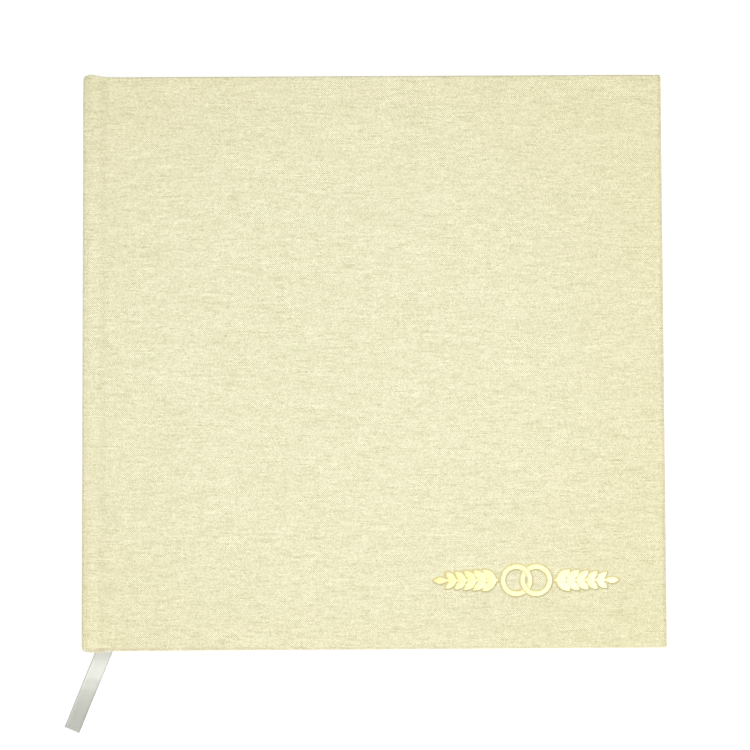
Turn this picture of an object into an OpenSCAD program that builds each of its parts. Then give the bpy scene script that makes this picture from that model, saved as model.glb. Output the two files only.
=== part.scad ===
// Square case-bound guest book, lying closed on its back cover.
// Spine towards -X, fore edge towards +X, head towards +Y, tail towards -Y, front cover up (+Z).
// Origin: centre of the closed book's footprint, on the surface that it lies on. Millimetres.

/* [Case] */
// Width of the closed book, spine to fore edge
cover_w = 231; // [180:1:300]
// Height of the boards with their cloth, head to tail
cover_h = 228; // [180:1:300]
// How far the doubled cloth at the spine and joints stands past the boards, at each end
spine_proud = 0.8; // [0.3:0.1:1.5]
// Thickness of the grey boards
board_t = 2.5; // [1.5:0.1:3]
// Thickness of the spine board
spine_board_t = 2.0; // [1.2:0.1:2]
// Thickness of the book cloth
cloth_t = 0.4; // [0.3:0.05:0.6]
// Width of the cloth joint between shoulder and board
joint_w = 7.4; // [6:0.2:10]
// Depth of the pressed joint groove
groove_d = 0.8; // [0.4:0.1:1.2]
// Width of the cloth turned over the boards' inner faces
turn_in = 15; // [10:1:20]

/* [Book block] */
// Gap between the block's edges and the cover's edges (the squares)
square_w = 3; // [2:0.5:4]
// Thickness of one sewn section of eight leaves
section_t = 1.16; // [1.0:0.02:1.16]
// Thickness of an endpaper
endpaper_t = 0.15; // [0.1:0.01:0.18]
// Length of the woven band's tape down the spine
band_l = 9.5; // [6:0.5:14]

/* [Ribbon] */
// Width of the satin ribbon
ribbon_w = 6.35; // [3:0.05:8]
// Thickness of the ribbon
ribbon_t = 0.2; // [0.1:0.02:0.24]

/* [Ornament] */
// Distance of the ornament's centre from the fore edge
ornament_in = 55.4; // [50:0.1:90]
// Distance of the ornament's centre from the tail edge of the board
ornament_up = 26.8; // [20:0.1:60]
// Radius of each ring
ring_r = 6.2; // [5:0.1:6.6]
// Width of each ring's band
ring_w = 1.7; // [1:0.1:2]
// Half the distance between the rings' centres
link = 3.9; // [3.4:0.1:4.2]
// Leaf pairs on each sprig
leaf_pairs = 5; // [3:1:6]

/* [Hidden] */
$fn = 96;
hw = cover_w / 2;
hh = cover_h / 2;
hs = hh + spine_proud;
shoulder_r = 1.4;                       // rounded edge of the spine
turn_t = 0.3;                           // cloth turned over the board
cover_t = cloth_t + board_t + turn_t;   // board with cloth, without endpaper
slip = 0.05;                            // air between loose sheets
pitch = 1.2;                            // section to section
ribbon_gap = 0.4;                       // between section 5 and section 6
block_z = cover_t + endpaper_t + slip + endpaper_t + slip;   // underside of section 10
mid_z = block_z + 5 * pitch;
top_z = mid_z + ribbon_gap + 5 * pitch;
book_t = top_z + block_z;
hinge_x = -hw + shoulder_r;             // hinge axes of both covers
hinge_zb = shoulder_r;
hinge_zf = book_t - shoulder_r;
strip_x = hinge_x + shoulder_r + 0.1;   // the joint cloth starts clear of the shoulder
board_x = strip_x + joint_w;            // spine side of the boards
back_x = -hw + 4.3;                     // folded backs of the sections
fore_x = hw - square_w;
block_h = hh - square_w;
band_r = 0.72;
lap_t = 0.25;                           // each layer glued on the block's spine
lap_z = 0.1;

linen = "#ede8c3";
paper = "#fbf7ea";
board_grey = "#9a948a";

// ---------- shared shapes ----------

// a block given by its two corners
module box(a, b) { translate(a) cube(b - a); }

// plan outline whose two corners on the fore edge are rounded
module fore_round(x0, x1, h, r) {
  translate([x0, -h]) square([x1 - r - x0, 2 * h]);
  translate([x0, -h + r]) square([x1 - x0, 2 * (h - r)]);
  for (s = [-1, 1]) translate([x1 - r, s * (h - r)]) circle(r);
}

// what is drawn for the back cover, turned over to make the front cover
module as_front() { translate([0, 0, book_t]) mirror([0, 0, 1]) children(); }

module board_blank() {
  translate([0, 0, cloth_t]) linear_extrude(board_t) fore_round(board_x, hw - cloth_t, hh - cloth_t, 0.8);
}

module turn_in_window() {
  box([board_x - 1, -hh + cloth_t + turn_in, cloth_t + board_t],
      [hw - cloth_t - turn_in, hh - cloth_t - turn_in, cover_t + 1]);
}

module cover_cloth() {
  difference() {
    linear_extrude(cover_t) fore_round(board_x, hw, hh, 1.2);
    board_blank();
    turn_in_window();
  }
}

module joint_cloth() {
  groove_r = (pow(joint_w / 2 + 0.3, 2) + pow(groove_d, 2)) / (2 * groove_d);
  difference() {
    box([strip_x, -hs, 0], [board_x, hs, cover_t]);
    translate([(strip_x + board_x) / 2, 0, groove_d - groove_r])
      rotate([90, 0, 0]) cylinder(r = groove_r, h = 2 * hs + 2, center = true);
  }
}

module pastedown() {
  box([strip_x + 0.2, -hh + square_w + 0.4, cover_t], [hw - square_w - 0.4, hh - square_w - 0.4, cover_t + endpaper_t]);
  // the sheet dips between the turned-in edges of the cloth
  box([board_x, -hh + cloth_t + turn_in, cloth_t + board_t],
      [hw - cloth_t - turn_in, hh - cloth_t - turn_in, cover_t + endpaper_t / 2]);
}

// one folded and sewn section, with its round back towards the spine
module section(z) {
  r = section_t / 2;
  c = z + pitch / 2;
  box([back_x + r, -block_h, c - r], [fore_x, block_h, c + r]);
  translate([back_x + r, 0, c]) rotate([90, 0, 0]) cylinder(r = r, h = 2 * block_h, center = true);
}

function section_z(n) = n > 5 ? block_z + (10 - n) * pitch : mid_z + ribbon_gap + (5 - n) * pitch;

// ---------- back cover ----------

module back_board() { color(board_grey) board_blank(); }
module back_cover_cloth() { color(linen) cover_cloth(); }
module back_joint_cloth() { color(linen) joint_cloth(); }
module back_pastedown() { color(paper) pastedown(); }

// ---------- front cover ----------

module front_board() { color(board_grey) as_front() board_blank(); }

module front_cover_cloth() {
  color(linen) difference() {
    as_front() cover_cloth();
    translate([0, 0, book_t - 0.2]) linear_extrude(1) ornament();
  }
}

module front_joint_cloth() { color(linen) as_front() joint_cloth(); }
module front_pastedown() { color(paper) as_front() pastedown(); }

// a leaf: two arcs that meet in points, l long and w wide, growing along +X
module leaf(l, w) {
  r = (l * l + w * w) / (4 * w);
  intersection() {
    translate([l / 2, w / 2 - r]) circle(r);
    translate([l / 2, r - w / 2]) circle(r);
  }
}

module sprig() {
  reach = 20.6;
  step = reach / (leaf_pairs + 0.2);
  translate([0, -0.4]) square([reach + 1, 0.8]);
  for (i = [0 : leaf_pairs - 1]) {
    l = 6.6 - 0.4 * i;
    translate([0.8 + i * step, 0]) for (s = [-1, 1]) rotate(s * 38) leaf(l, l * 0.46);
  }
  translate([reach - 0.4, 0]) leaf(5, 2.3);
}

module band_ring(s, grow = 0) {
  translate([s * link, 0]) difference() { circle(ring_r + grow); circle(ring_r - ring_w - grow); }
}

// two rings linked like a chain: each passes over the other once
module linked_rings() {
  for (s = [-1, 1]) difference() {
    band_ring(s);
    intersection() {
      band_ring(-s, 0.35);
      translate([-ring_r, s > 0 ? 0 : -2 * ring_r]) square(2 * ring_r);
    }
  }
}

// generic wedding ornament: two linked rings between two leafy sprigs
module ornament() {
  translate([hw - ornament_in, -hh + ornament_up]) {
    linked_rings();
    for (s = [0, 1]) mirror([s, 0]) translate([link + ring_r + 1.1, 0]) sprig();
  }
}

module foil_ornament() {
  color("#f0e6ad") translate([0, 0, book_t - 0.2]) linear_extrude(0.12) ornament();
}

// ---------- spine ----------

module spine_board() {
  color(board_grey)
    box([-hw + cloth_t, -hh + cloth_t, 0.8], [-hw + cloth_t + spine_board_t, hh - cloth_t, book_t - 0.8]);
}

module spine_cloth() {
  inner_x = hinge_x + shoulder_r;
  color(linen) difference() {
    intersection() {
      union() {
        box([-hw, -hs, hinge_zb], [inner_x, hs, hinge_zf]);
        for (z = [hinge_zb, hinge_zf])
          translate([hinge_x, 0, z]) rotate([90, 0, 0]) cylinder(r = shoulder_r, h = 2 * hs, center = true);
      }
      // corners rounded in plan
      translate([0, 0, -1]) linear_extrude(book_t + 2) mirror([1, 0]) fore_round(-inner_x - 1, hw, hs, 2);
    }
    box([-hw + cloth_t, -hh + cloth_t, 0.8], [-hw + cloth_t + spine_board_t, hh - cloth_t, book_t - 0.8]);
    box([-hw + cloth_t + spine_board_t - 0.1, -hh + cloth_t + turn_in, hinge_zb],
        [inner_x + 1, hh - cloth_t - turn_in, hinge_zf]);
  }
}

// ---------- leaves ----------

module flyleaf(z) {
  color(paper) box([back_x + 0.2, -block_h, z], [fore_x, block_h, z + endpaper_t]);
}

module back_flyleaf() { flyleaf(cover_t + endpaper_t + slip); }
module front_flyleaf() { flyleaf(book_t - cover_t - 2 * endpaper_t - slip); }
module section_01() { color(paper) section(section_z(1)); }
module section_02() { color(paper) section(section_z(2)); }
module section_03() { color(paper) section(section_z(3)); }
module section_04() { color(paper) section(section_z(4)); }
module section_05() { color(paper) section(section_z(5)); }
module section_06() { color(paper) section(section_z(6)); }
module section_07() { color(paper) section(section_z(7)); }
module section_08() { color(paper) section(section_z(8)); }
module section_09() { color(paper) section(section_z(9)); }
module section_10() { color(paper) section(section_z(10)); }

// ---------- glued and sewn on the block's spine ----------

module spine_mull() {
  color("#e8e4d4")
    box([back_x - lap_t, -block_h + band_l + 0.5, block_z + lap_z], [back_x, block_h - band_l - 0.5, top_z - lap_z]);
}

module spine_lining() {
  color("#b08d5f")
    box([back_x - 2 * lap_t, -block_h + 1.5, block_z + lap_z], [back_x - lap_t, block_h - 1.5, top_z - lap_z]);
}

// tape glued on the spine, with the bead that shows above the leaves
module band(s) {
  color("#f4efdf") mirror([0, s > 0 ? 0 : 1, 0]) {
    box([back_x - lap_t, block_h - band_l, block_z + lap_z], [back_x, block_h + 0.04 + band_r, top_z - lap_z]);
    translate([back_x - lap_t + band_r, block_h + 0.04 + band_r, block_z + lap_z])
      cylinder(r = band_r, h = top_z - block_z - 2 * lap_z);
  }
}
module head_band() { band(1); }
module tail_band() { band(-1); }

// linen thread lying in the valleys between the sections' backs, at each sewing station
module sewing_thread() {
  stations = [-90, -54, -18, 18, 54, 90];
  color("#efe9d8")
    for (y = stations, n = [1 : 9])
      translate([back_x + 0.15, y, n == 5 ? mid_z + ribbon_gap / 2 : section_z(n)])
        rotate([90, 0, 0]) cylinder(r = 0.13, h = 8, center = true, $fn = 24);
}

// ---------- ribbon bookmark ----------

// centreline: x, y, z and the turn of the ribbon's width from upright (0) to flat (90)
ROUTE = [
  [-111.95, 84, 11, 0], [-111.95, 93, 11, 0], [-111.95, 102, 11, 0], [-111.95, 107.5, 11, 0],
  [-111.95, 109.8, 11, 0], [-111.85, 111.5, 11, 0], [-111.45, 112.8, 11, 2], [-110.6, 113.8, 11, 7],
  [-109.5, 114.3, 10.9, 18], [-108.4, 114.15, 10.7, 38], [-107.5, 113.4, 10.38, 60], [-106.95, 112.4, 10.05, 80],
  [-106.7, 111.2, 9.8, 90], [-106.6, 107, 9.8, 90], [-106.3, 90, 9.8, 90], [-105.9, 65, 9.8, 90],
  [-105.5, 40, 9.8, 90], [-105.1, 15, 9.8, 90], [-104.7, -10, 9.8, 90], [-104.3, -35, 9.8, 90],
  [-103.9, -60, 9.8, 90], [-103.6, -78, 9.8, 90], [-103.5, -88, 9.8, 90], [-103.7, -95, 9.8, 90],
  [-104.3, -101, 9.8, 90], [-105.1, -107, 9.8, 90], [-105.9, -110.6, 9.8, 90], [-106.3, -112, 9.7, 90],
  [-107.1, -113.8, 9, 90], [-107.8, -115.4, 8, 90], [-108.6, -117, 6.9, 90], [-109.4, -118.7, 5.8, 90],
  [-110.1, -120.3, 4.9, 90], [-110.9, -122, 4.05, 90], [-111.8, -124, 3.2, 90], [-112.7, -126, 2.5, 90],
  [-113.8, -128.5, 1.9, 90], [-114.8, -130.9, 1.4, 90], [-116, -133.7, 1, 90], [-117.2, -136.5, 0.7, 90],
  [-118.5, -139.7, 0.5, 90], [-119.8, -142.9, 0.4, 90], [-121.5, -146.9, 0.3, 90]
];

function unit(v) = v / norm(v);
function at(i) = [ROUTE[i][0], ROUTE[i][1], ROUTE[i][2]];
function along(i) = unit(at(min(i + 1, len(ROUTE) - 1)) - at(max(i - 1, 0)));
function across(i) = let(w = [sin(ROUTE[i][3]), 0, cos(ROUTE[i][3])], t = along(i)) unit(w - (w * t) * t);
function ring(i) =
  let(p = at(i), w = across(i) * ribbon_w / 2, n = cross(along(i), across(i)) * ribbon_t / 2)
  [p + w + n, p + w - n, p - w - n, p - w + n];

module ribbon_bookmark() {
  last = len(ROUTE) - 1;
  points = [for (i = [0 : last]) each ring(i)];
  sides = [for (i = [0 : last - 1], k = [0 : 3])
    let(a = 4 * i + k, b = 4 * i + (k + 1) % 4) each [[a, b, b + 4], [a, b + 4, a + 4]]];
  caps = [[2, 1, 0], [3, 2, 0], [4 * last, 4 * last + 1, 4 * last + 2], [4 * last, 4 * last + 2, 4 * last + 3]];
  color("#f4f2ea") polyhedron(points, concat(sides, caps));
}

back_board();
back_cover_cloth();
back_joint_cloth();
back_pastedown();
front_board();
front_cover_cloth();
front_joint_cloth();
front_pastedown();
foil_ornament();
spine_board();
spine_cloth();
front_flyleaf();
section_01();
section_02();
section_03();
section_04();
section_05();
section_06();
section_07();
section_08();
section_09();
section_10();
back_flyleaf();
spine_mull();
spine_lining();
head_band();
tail_band();
sewing_thread();
ribbon_bookmark();
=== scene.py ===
# Square case-bound guest book: linen cloth case, sewn leaves, satin ribbon, foil ornament.
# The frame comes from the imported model. Sizes below are in millimetres and become metres in put().
import math

import bpy
import numpy as np
from mathutils import Matrix, Vector


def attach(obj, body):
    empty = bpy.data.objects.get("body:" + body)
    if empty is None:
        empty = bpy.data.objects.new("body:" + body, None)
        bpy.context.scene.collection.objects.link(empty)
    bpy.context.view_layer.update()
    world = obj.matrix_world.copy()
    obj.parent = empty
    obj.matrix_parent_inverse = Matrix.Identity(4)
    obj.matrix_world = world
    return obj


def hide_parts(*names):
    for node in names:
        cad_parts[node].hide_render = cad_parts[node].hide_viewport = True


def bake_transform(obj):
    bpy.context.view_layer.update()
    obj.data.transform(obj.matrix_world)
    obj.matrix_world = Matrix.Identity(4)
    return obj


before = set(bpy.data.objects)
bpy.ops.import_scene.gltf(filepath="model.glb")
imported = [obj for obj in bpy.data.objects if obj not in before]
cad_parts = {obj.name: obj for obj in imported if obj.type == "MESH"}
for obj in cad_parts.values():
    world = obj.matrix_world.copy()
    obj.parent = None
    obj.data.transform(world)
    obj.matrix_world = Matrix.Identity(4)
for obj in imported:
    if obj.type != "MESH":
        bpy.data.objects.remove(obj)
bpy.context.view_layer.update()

scene = bpy.context.scene
MM = 0.001

# ------------------------------------------------------------------ camera

cam = bpy.data.objects.new("camera", bpy.data.cameras.new("camera"))
scene.collection.objects.link(cam)
cam.data.sensor_fit = "HORIZONTAL"
cam.data.sensor_width = 36
cam.data.lens = 118.81
cam.data.clip_end = 20
cam.location = (0.004574, -0.065454, 1.0)
cam.rotation_euler = (0.0606949, 0.0040941, -0.0041574)
scene.camera = cam

# ------------------------------------------------------------------ sizes (mm)

HW, HH = 115.5, 114.0
T = 19.6
HINGE_X, ZB, ZF, SHOULDER = -114.1, 1.4, 18.2, 1.4
COVER_T, PAPER_T = 3.2, 0.15
BACK_X, FORE_X, BLOCK_H = -111.2, 112.5, 111.0
PITCH, SECTION_T, BLOCK_Z, GAP = 1.2, 1.16, 3.6, 0.4
ORNAMENT = (60.1, -87.2)


def section_z(n):
    return BLOCK_Z + (10 - n) * PITCH if n > 5 else BLOCK_Z + 5 * PITCH + GAP + (5 - n) * PITCH


def body_of_section(n):
    return "text_block" if n == 10 else f"leaves_{n:02d}"


# ------------------------------------------------------------------ node graphs


class Graph:
    """A short way to write node trees: every call returns an output socket."""

    def __init__(self, name):
        self.mat = bpy.data.materials.new(name)
        self.mat.use_nodes = True
        self.tree = self.mat.node_tree
        self.tree.nodes.clear()
        self.out = self.tree.nodes.new("ShaderNodeOutputMaterial")
        self.bsdf = self.tree.nodes.new("ShaderNodeBsdfPrincipled")
        self.tree.links.new(self.bsdf.outputs[0], self.out.inputs["Surface"])
        coords = self.tree.nodes.new("ShaderNodeTexCoord")
        self.object, self.normal = coords.outputs["Object"], coords.outputs["Normal"]

    def put(self, socket, value):
        if isinstance(value, bpy.types.NodeSocket):
            self.tree.links.new(value, socket)
        else:
            socket.default_value = value

    def m(self, op, *args, clamp=False):
        n = self.tree.nodes.new("ShaderNodeMath")
        n.operation, n.use_clamp = op, clamp
        for s, a in zip(n.inputs, args):
            self.put(s, a)
        return n.outputs[0]

    def add(self, *a):
        r = a[0]
        for x in a[1:]:
            r = self.m("ADD", r, x)
        return r

    def mul(self, *a):
        r = a[0]
        for x in a[1:]:
            r = self.m("MULTIPLY", r, x)
        return r

    def sub(self, a, b):
        return self.m("SUBTRACT", a, b)

    def xyz(self, v):
        n = self.tree.nodes.new("ShaderNodeSeparateXYZ")
        self.put(n.inputs[0], v)
        return n.outputs[0], n.outputs[1], n.outputs[2]

    def vec(self, x=0.0, y=0.0, z=0.0):
        n = self.tree.nodes.new("ShaderNodeCombineXYZ")
        for s, a in zip(n.inputs, (x, y, z)):
            self.put(s, a)
        return n.outputs[0]

    def noise(self, v, scale=1.0, detail=2.0, rough=0.5, dims="3D"):
        n = self.tree.nodes.new("ShaderNodeTexNoise")
        n.noise_dimensions = dims
        self.put(n.inputs["Vector"], v)
        n.inputs["Scale"].default_value = scale
        n.inputs["Detail"].default_value = detail
        n.inputs["Roughness"].default_value = rough
        return n.outputs[0]

    def white(self, x, y):
        """A different number from 0 to 1 for each pair of whole numbers."""
        n = self.tree.nodes.new("ShaderNodeTexWhiteNoise")
        n.noise_dimensions = "2D"
        self.put(n.inputs["Vector"], self.vec(self.add(x, 0.5), self.add(y, 0.5)))
        return n.outputs["Value"]

    def mapr(self, v, a, b, c, d, smooth=False):
        n = self.tree.nodes.new("ShaderNodeMapRange")
        n.clamp = True
        if smooth:
            n.interpolation_type = "SMOOTHSTEP"
        self.put(n.inputs["Value"], v)
        for k, x in zip(("From Min", "From Max", "To Min", "To Max"), (a, b, c, d)):
            self.put(n.inputs[k], x)
        return n.outputs[0]

    def mix(self, f, a, b):
        n = self.tree.nodes.new("ShaderNodeMix")
        n.data_type = "RGBA"
        n.clamp_factor = True
        self.put(n.inputs[0], f)
        for s, c in ((n.inputs[6], a), (n.inputs[7], b)):
            self.put(s, c if isinstance(c, bpy.types.NodeSocket) else (*c, 1.0))
        return n.outputs[2]

    def colour_times(self, c, by):
        n = self.tree.nodes.new("ShaderNodeVectorMath")
        n.operation = "MULTIPLY"
        self.put(n.inputs[0], c)
        self.put(n.inputs[1], by)
        return n.outputs[0]

    def scale_colour(self, c, f):
        """c times the number f."""
        n = self.tree.nodes.new("ShaderNodeVectorMath")
        n.operation = "SCALE"
        self.put(n.inputs[0], c if isinstance(c, bpy.types.NodeSocket) else c)
        self.put(n.inputs["Scale"], f)
        return n.outputs[0]

    def bump(self, height, distance, strength=1.0):
        n = self.tree.nodes.new("ShaderNodeBump")
        n.inputs["Strength"].default_value = strength
        n.inputs["Distance"].default_value = distance
        self.put(n.inputs["Height"], height)
        return n.outputs[0]

    def set(self, **values):
        for k, v in values.items():
            name = k.replace("_", " ")
            self.put(self.bsdf.inputs[name], v)
        return self.mat


LINEN_DEEP, LINEN_MID, LINEN_PALE = (0.68, 0.635, 0.38), (0.895, 0.862, 0.585), (0.91, 0.877, 0.61)
# cloth round the foil: partly flattened cloth, partly painted shade of the dip
LINEN_PRESSED_AND_SHADED = (0.66, 0.565, 0.27)
# painted shade: the cloth is multiplied by this colour towards the cover's edges
LINEN_RIM_PAINTED_SHADE = (0.955, 0.935, 0.87)
# painted shade on the fore edge, the tail edge and the spine's shoulders
LINEN_EDGE_PAINTED_SHADE = (0.88, 0.85, 0.875)


def face_coords(g):
    """Thread coordinates in mm: u runs along the weft and v along the warp, and both turn the corner with the cloth."""
    x, y, z = g.xyz(g.object)
    nx, ny, nz = g.xyz(g.normal)
    side = g.m("GREATER_THAN", g.m("ABSOLUTE", nx), 0.72)
    end = g.m("GREATER_THAN", g.m("ABSOLUTE", ny), 0.72)
    u = g.add(g.mul(x, g.sub(1.0, side)), g.mul(z, side))
    v = g.add(g.mul(y, g.sub(1.0, end)), g.mul(z, end))
    return g.mul(u, 1000.0), g.mul(v, 1000.0)


def linen():
    """Slubby plain-weave book cloth. A point attribute marks cloth flattened at the edge of the blocked foil. There the
    cloth is also darker and yellower, partly painted shade on the slope of the dip.
    """
    g = Graph("linen_book_cloth")
    u, v = face_coords(g)
    pu, pv = 0.40, 0.41
    # threads wander a little
    wa = g.noise(g.vec(g.mul(u, 0.05), g.mul(v, 0.02)), 1.0, 2.0, 0.6, "2D")
    wb = g.noise(g.vec(g.mul(u, 0.022), g.mul(v, 0.05)), 1.3, 2.0, 0.6, "2D")
    a = g.add(g.mul(u, 1 / pu), g.mul(g.sub(wa, 0.5), 1.1))
    b = g.add(g.mul(v, 1 / pv), g.mul(g.sub(wb, 0.5), 1.1))
    i, j = g.m("FLOOR", a), g.m("FLOOR", b)
    fa, fb = g.sub(g.m("FRACT", a), 0.5), g.sub(g.m("FRACT", b), 0.5)
    # each thread swells and thins along its own length
    slub_weft = g.noise(g.vec(g.mul(u, 0.15), g.mul(j, 7.31)), 1.0, 3.0, 0.62, "2D")
    slub_warp = g.noise(g.vec(g.mul(i, 5.77), g.mul(v, 0.28)), 1.0, 3.0, 0.66, "2D")
    tone_weft = g.noise(g.vec(g.mul(u, 0.06), g.mul(j, 3.13)), 1.0, 1.0, 0.5, "2D")
    stitch = g.white(i, j)
    ww = g.mapr(slub_weft, 0.3, 0.7, 0.80, 1.08)
    wp = g.mapr(slub_warp, 0.3, 0.7, 0.86, 1.02)
    # round thread sections: 1 at the crown, 0 at the valley
    cw = g.sub(1.0, g.m("POWER", g.m("MINIMUM", g.m("DIVIDE", g.m("ABSOLUTE", g.mul(fb, 2.0)), ww), 1.0), 2.0))
    cp = g.sub(1.0, g.m("POWER", g.m("MINIMUM", g.m("DIVIDE", g.m("ABSOLUTE", g.mul(fa, 2.0)), wp), 1.0), 2.0))
    over = g.m("SINE", g.mul(g.add(b, i), math.pi))
    under = g.m("SINE", g.mul(g.add(a, j), math.pi))
    hw = g.mul(g.m("POWER", g.m("MAXIMUM", cw, 0.0), 0.6), g.add(0.66, g.mul(under, -0.34)))
    hp = g.mul(g.m("POWER", g.m("MAXIMUM", cp, 0.0), 0.6), g.add(0.56, g.mul(over, 0.36)))
    height = g.m("MAXIMUM", hw, hp)
    weft_on_top = g.m("GREATER_THAN", hw, hp)
    fibre = g.noise(g.vec(g.mul(u, 2.2), g.mul(v, 2.2)), 1.0, 2.0, 0.7, "2D")
    slub = g.add(g.mul(slub_weft, weft_on_top), g.mul(g.add(g.mul(slub_warp, 0.4), 0.3), g.sub(1.0, weft_on_top)))
    # thin places along a thread sink and look dark; thick ones catch the light
    thin_weft = g.mapr(slub_weft, 0.42, 0.30, 0.0, 1.0, True)
    thin_warp = g.mapr(slub_warp, 0.40, 0.30, 0.0, 1.0, True)
    thick_weft = g.mapr(slub_weft, 0.60, 0.74, 0.0, 1.0, True)
    shade = g.add(
        0.996,
        g.mul(g.sub(slub, 0.5), 0.24),
        g.mul(g.sub(tone_weft, 0.5), 0.14),
        g.mul(g.sub(stitch, 0.5), 0.29),
        g.mul(g.sub(weft_on_top, 0.5), 0.30),
        # painted shade: lower where the thread surface sinks between threads
        g.mul(g.sub(height, 0.6), 0.22),
        g.mul(g.sub(fibre, 0.5), 0.14),
        g.mul(thin_weft, -0.07),
        g.mul(thin_warp, -0.01),
        g.mul(thick_weft, 0.03),
    )
    cloudy = g.noise(g.vec(g.mul(u, 0.012), g.mul(v, 0.012)), 1.0, 3.0, 0.6, "2D")
    # painted shade: the deep tone fills the valleys between threads, the pale one the crowns
    tone = g.mix(g.mapr(height, 0.08, 0.6, 0.0, 1.0, True), LINEN_DEEP, LINEN_PALE)
    tone = g.mix(g.mapr(cloudy, 0.35, 0.7, 0.0, 0.05), tone, LINEN_MID)
    # painted shade: from about 55 mm to 175 mm out from near the middle of the cover, the cloth turns darker and
    # yellower
    du = g.add(u, 20.0)
    out = g.m("SQRT", g.add(g.mul(du, du), g.mul(v, v)))
    tone = g.mix(g.mapr(out, 55.0, 175.0, 0.0, 1.0, True), tone, g.colour_times(tone, LINEN_RIM_PAINTED_SHADE))
    # painted shade: the fore edge and the tail edge are a little darker, and the shoulders less so, where the cloth
    # rounds over the board's edges
    x, y, _ = g.xyz(g.object)
    fore = g.mapr(g.mul(x, 1000.0), 113.7, 114.9, 0.0, 1.0, True)
    foot = g.mapr(g.mul(y, -1000.0), 112.9, 113.8, 0.0, 1.0, True)
    shoulder = g.mapr(g.mul(x, -1000.0), 109.0, 113.6, 0.0, 0.10, True)
    painted_edge_shade = g.m("MAXIMUM", g.m("MAXIMUM", fore, foot), shoulder)
    tone = g.mix(painted_edge_shade, tone, g.colour_times(tone, LINEN_EDGE_PAINTED_SHADE))
    press_and_shade = g.tree.nodes.new("ShaderNodeAttribute")
    press_and_shade.attribute_type = "GEOMETRY"
    press_and_shade.attribute_name = "press_and_shade"
    pressed_and_shaded = g.xyz(press_and_shade.outputs["Vector"])[0]
    # darker, yellower ring round the foil: partly cloth flattened by the blocking, partly painted shade on the slope of
    # the dip
    tone = g.mix(g.mul(pressed_and_shaded, 0.85), tone, LINEN_PRESSED_AND_SHADED)
    flat = g.mapr(pressed_and_shaded, 0.0, 1.0, 1.0, 0.25)
    # in the gaps and thin places the cloth looks yellower as well as darker
    change = g.mul(g.sub(shade, 1.0), flat)
    g.put(g.bsdf.inputs["Base Color"], g.colour_times(tone, g.vec(*(g.add(1.0, g.mul(change, k)) for k in (0.88, 0.88, 1.4)))))
    g.put(g.bsdf.inputs["Normal"], g.bump(g.mul(flat, g.add(height, g.mul(fibre, 0.25), g.mul(slub, 0.6))), 0.00012, 0.8))
    return g.set(Roughness=g.mapr(height, 0.0, 1.0, 0.92, 0.72), Specular_IOR_Level=0.22, Sheen_Weight=0.06, Sheen_Roughness=0.5)


def foil():
    """Pale gold blocking foil over cloth: the weave still shows faintly, the gloss varies with a fine grain, and the
    tone is a deeper yellow at the ornament's left end and paler towards the right and in patches.
    """
    g = Graph("gold_foil")
    x, y, z = g.xyz(g.object)
    u, v = g.mul(x, 1000.0), g.mul(y, 1000.0)
    weave = g.m("MULTIPLY", g.m("SINE", g.mul(u, math.pi / 0.40)), g.m("SINE", g.mul(v, math.pi / 0.41)))
    grain = g.noise(g.vec(g.mul(u, 1.1), g.mul(v, 1.1)), 1.0, 3.0, 0.6, "2D")
    worn = g.noise(g.vec(g.mul(u, 0.16), g.mul(v, 0.16)), 1.0, 3.0, 0.6, "2D")
    along = g.add(g.mapr(worn, 0.35, 0.68, 0.0, 0.4), g.mapr(u, 24.0, 96.0, 0.0, 0.6))
    tone = g.mix(along, (1.0, 0.89, 0.35), (1.0, 0.915, 0.56))
    g.put(g.bsdf.inputs["Base Color"], tone)
    g.put(g.bsdf.inputs["Normal"], g.bump(g.add(g.mul(weave, 0.3), grain), 0.00006, 0.6))
    return g.set(Metallic=0.62, Roughness=g.mapr(grain, 0.3, 0.7, 0.26, 0.40), Specular_IOR_Level=0.6)


def leaf_paper(name, colour, streaks=0.10):
    """Uncoated paper. Its cut edges show as fine lines along the stack."""
    g = Graph(name)
    x, y, z = g.xyz(g.object)
    um, vm, zm = g.mul(x, 1000.0), g.mul(y, 1000.0), g.mul(z, 1000.0)
    nz = g.m("ABSOLUTE", g.xyz(g.normal)[2])
    edge = g.m("LESS_THAN", nz, 0.6)
    layer = g.m("FLOOR", g.mul(zm, 1 / 0.145))
    line = g.noise(g.vec(g.mul(um, 0.02), g.mul(vm, 0.02), g.mul(layer, 3.7)), 1.0, 2.0, 0.6)
    fine = g.noise(g.vec(g.mul(um, 0.25), g.mul(vm, 0.25), g.mul(zm, 9.0)), 1.0, 3.0, 0.7)
    fibre = g.noise(g.vec(g.mul(um, 0.9), g.mul(vm, 0.9), zm), 1.0, 5.0, 0.65)
    cloud = g.noise(g.vec(g.mul(um, 0.03), g.mul(vm, 0.03), 0.0), 1.0, 2.0, 0.5)
    shade = g.add(
        1.0,
        g.mul(g.sub(fibre, 0.5), 0.045),
        g.mul(g.sub(cloud, 0.5), 0.03),
        g.mul(edge, g.sub(g.mul(g.add(line, fine), streaks), streaks * 1.6)),
    )
    g.put(g.bsdf.inputs["Base Color"], g.scale_colour(colour, shade))
    g.put(g.bsdf.inputs["Normal"], g.bump(g.add(fibre, g.mul(edge, fine)), 0.00004, 0.5))
    return g.set(Roughness=g.mapr(fibre, 0.3, 0.7, 0.78, 0.92), Specular_IOR_Level=0.25)


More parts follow.
